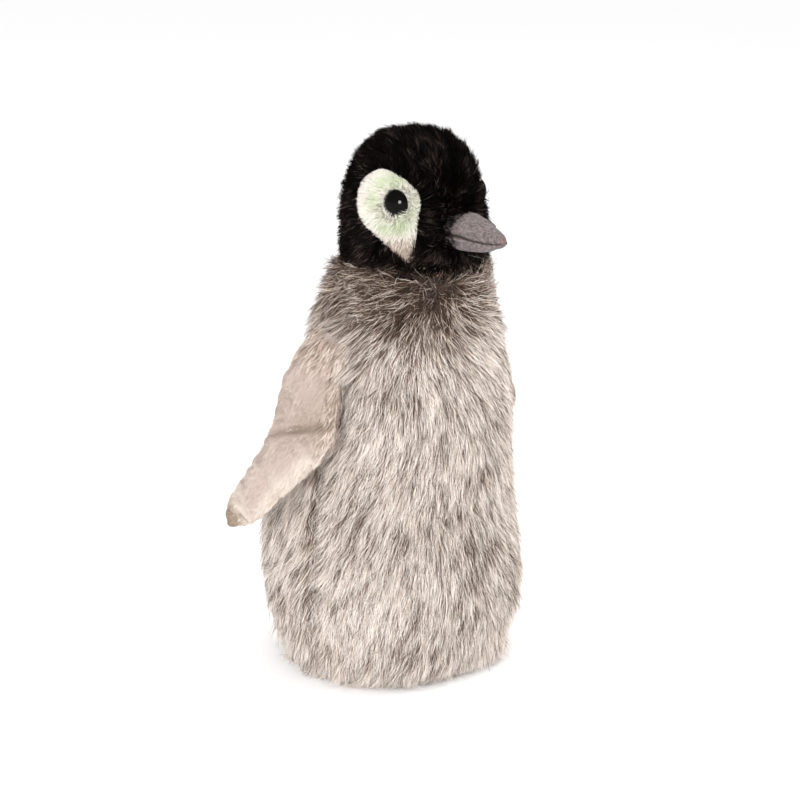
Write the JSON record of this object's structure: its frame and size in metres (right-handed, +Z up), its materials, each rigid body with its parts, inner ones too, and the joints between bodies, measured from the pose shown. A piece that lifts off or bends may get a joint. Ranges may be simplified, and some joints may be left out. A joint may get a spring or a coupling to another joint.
{
  "type": "plush penguin",
  "caption": "Standing stuffed penguin chick with long grey body pile, a short-pile black head, pale eye patches, a cloth beak and flippers that swing out at the shoulder seams.",
  "frame": {"origin": "centre of the flat underside, on the floor the toy stands on", "axes": "+Z up, the bird faces -Y, its left is +X; the rest pose has both flippers hanging against the body pile"},
  "size_m": [0.1512, 0.1221, 0.237],
  "materials": {
    "body_plush": "long pile, grey roots and pale tips",
    "base_cloth": "short woven cloth",
    "filling": "polyester fibre",
    "bag_cloth": "plain woven cotton",
    "pellets": "small granules",
    "head_plush": "short dense black pile",
    "patch_plush": "short white pile with a sprayed green ring",
    "washer": "moulded",
    "eye": "polished black",
    "beak_cloth": "brushed suede-like cloth",
    "flipper_outer": "short beige-grey pile",
    "flipper_inner": "short cream pile"
  },
  "bodies": {
    "torso": {"body_front_panel": "body_plush", "body_back_panel_left": "body_plush", "body_back_panel_right": "body_plush", "base_panel": "base_cloth", "body_stuffing": "filling", "pellet_bag": "bag_cloth", "pellets": "pellets", "head_side_left": "head_plush", "head_side_right": "head_plush", "head_crown_gusset": "head_plush", "head_chin_panel": "head_plush", "eye_patch_left": "patch_plush", "eye_patch_right": "patch_plush", "head_stuffing": "filling", "eye_left": "eye", "eye_right": "eye", "eye_washer_left": "washer", "eye_washer_right": "washer", "beak_upper": "beak_cloth", "beak_lower": "beak_cloth", "beak_stuffing": "filling"},
    "flipper_right": {"flipper_right_outer_skin": "flipper_outer", "flipper_right_inner_skin": "flipper_inner", "flipper_right_batting": "filling"},
    "flipper_left": {"flipper_left_outer_skin": "flipper_outer", "flipper_left_inner_skin": "flipper_inner", "flipper_left_batting": "filling"}
  },
  "joints": [
    {"name": "flipper_right_lift", "type": "hinge", "parent": "torso", "child": "flipper_right", "pos_m": [-0.0452, -0.011, 0.151], "axis": [-0.0237, 0.9377, 0.3465], "range_deg": [0, 80]},
    {"name": "flipper_left_lift", "type": "hinge", "parent": "torso", "child": "flipper_left", "pos_m": [0.0452, -0.011, 0.151], "axis": [-0.0237, -0.9377, -0.3465], "range_deg": [0, 80]}
  ]
}
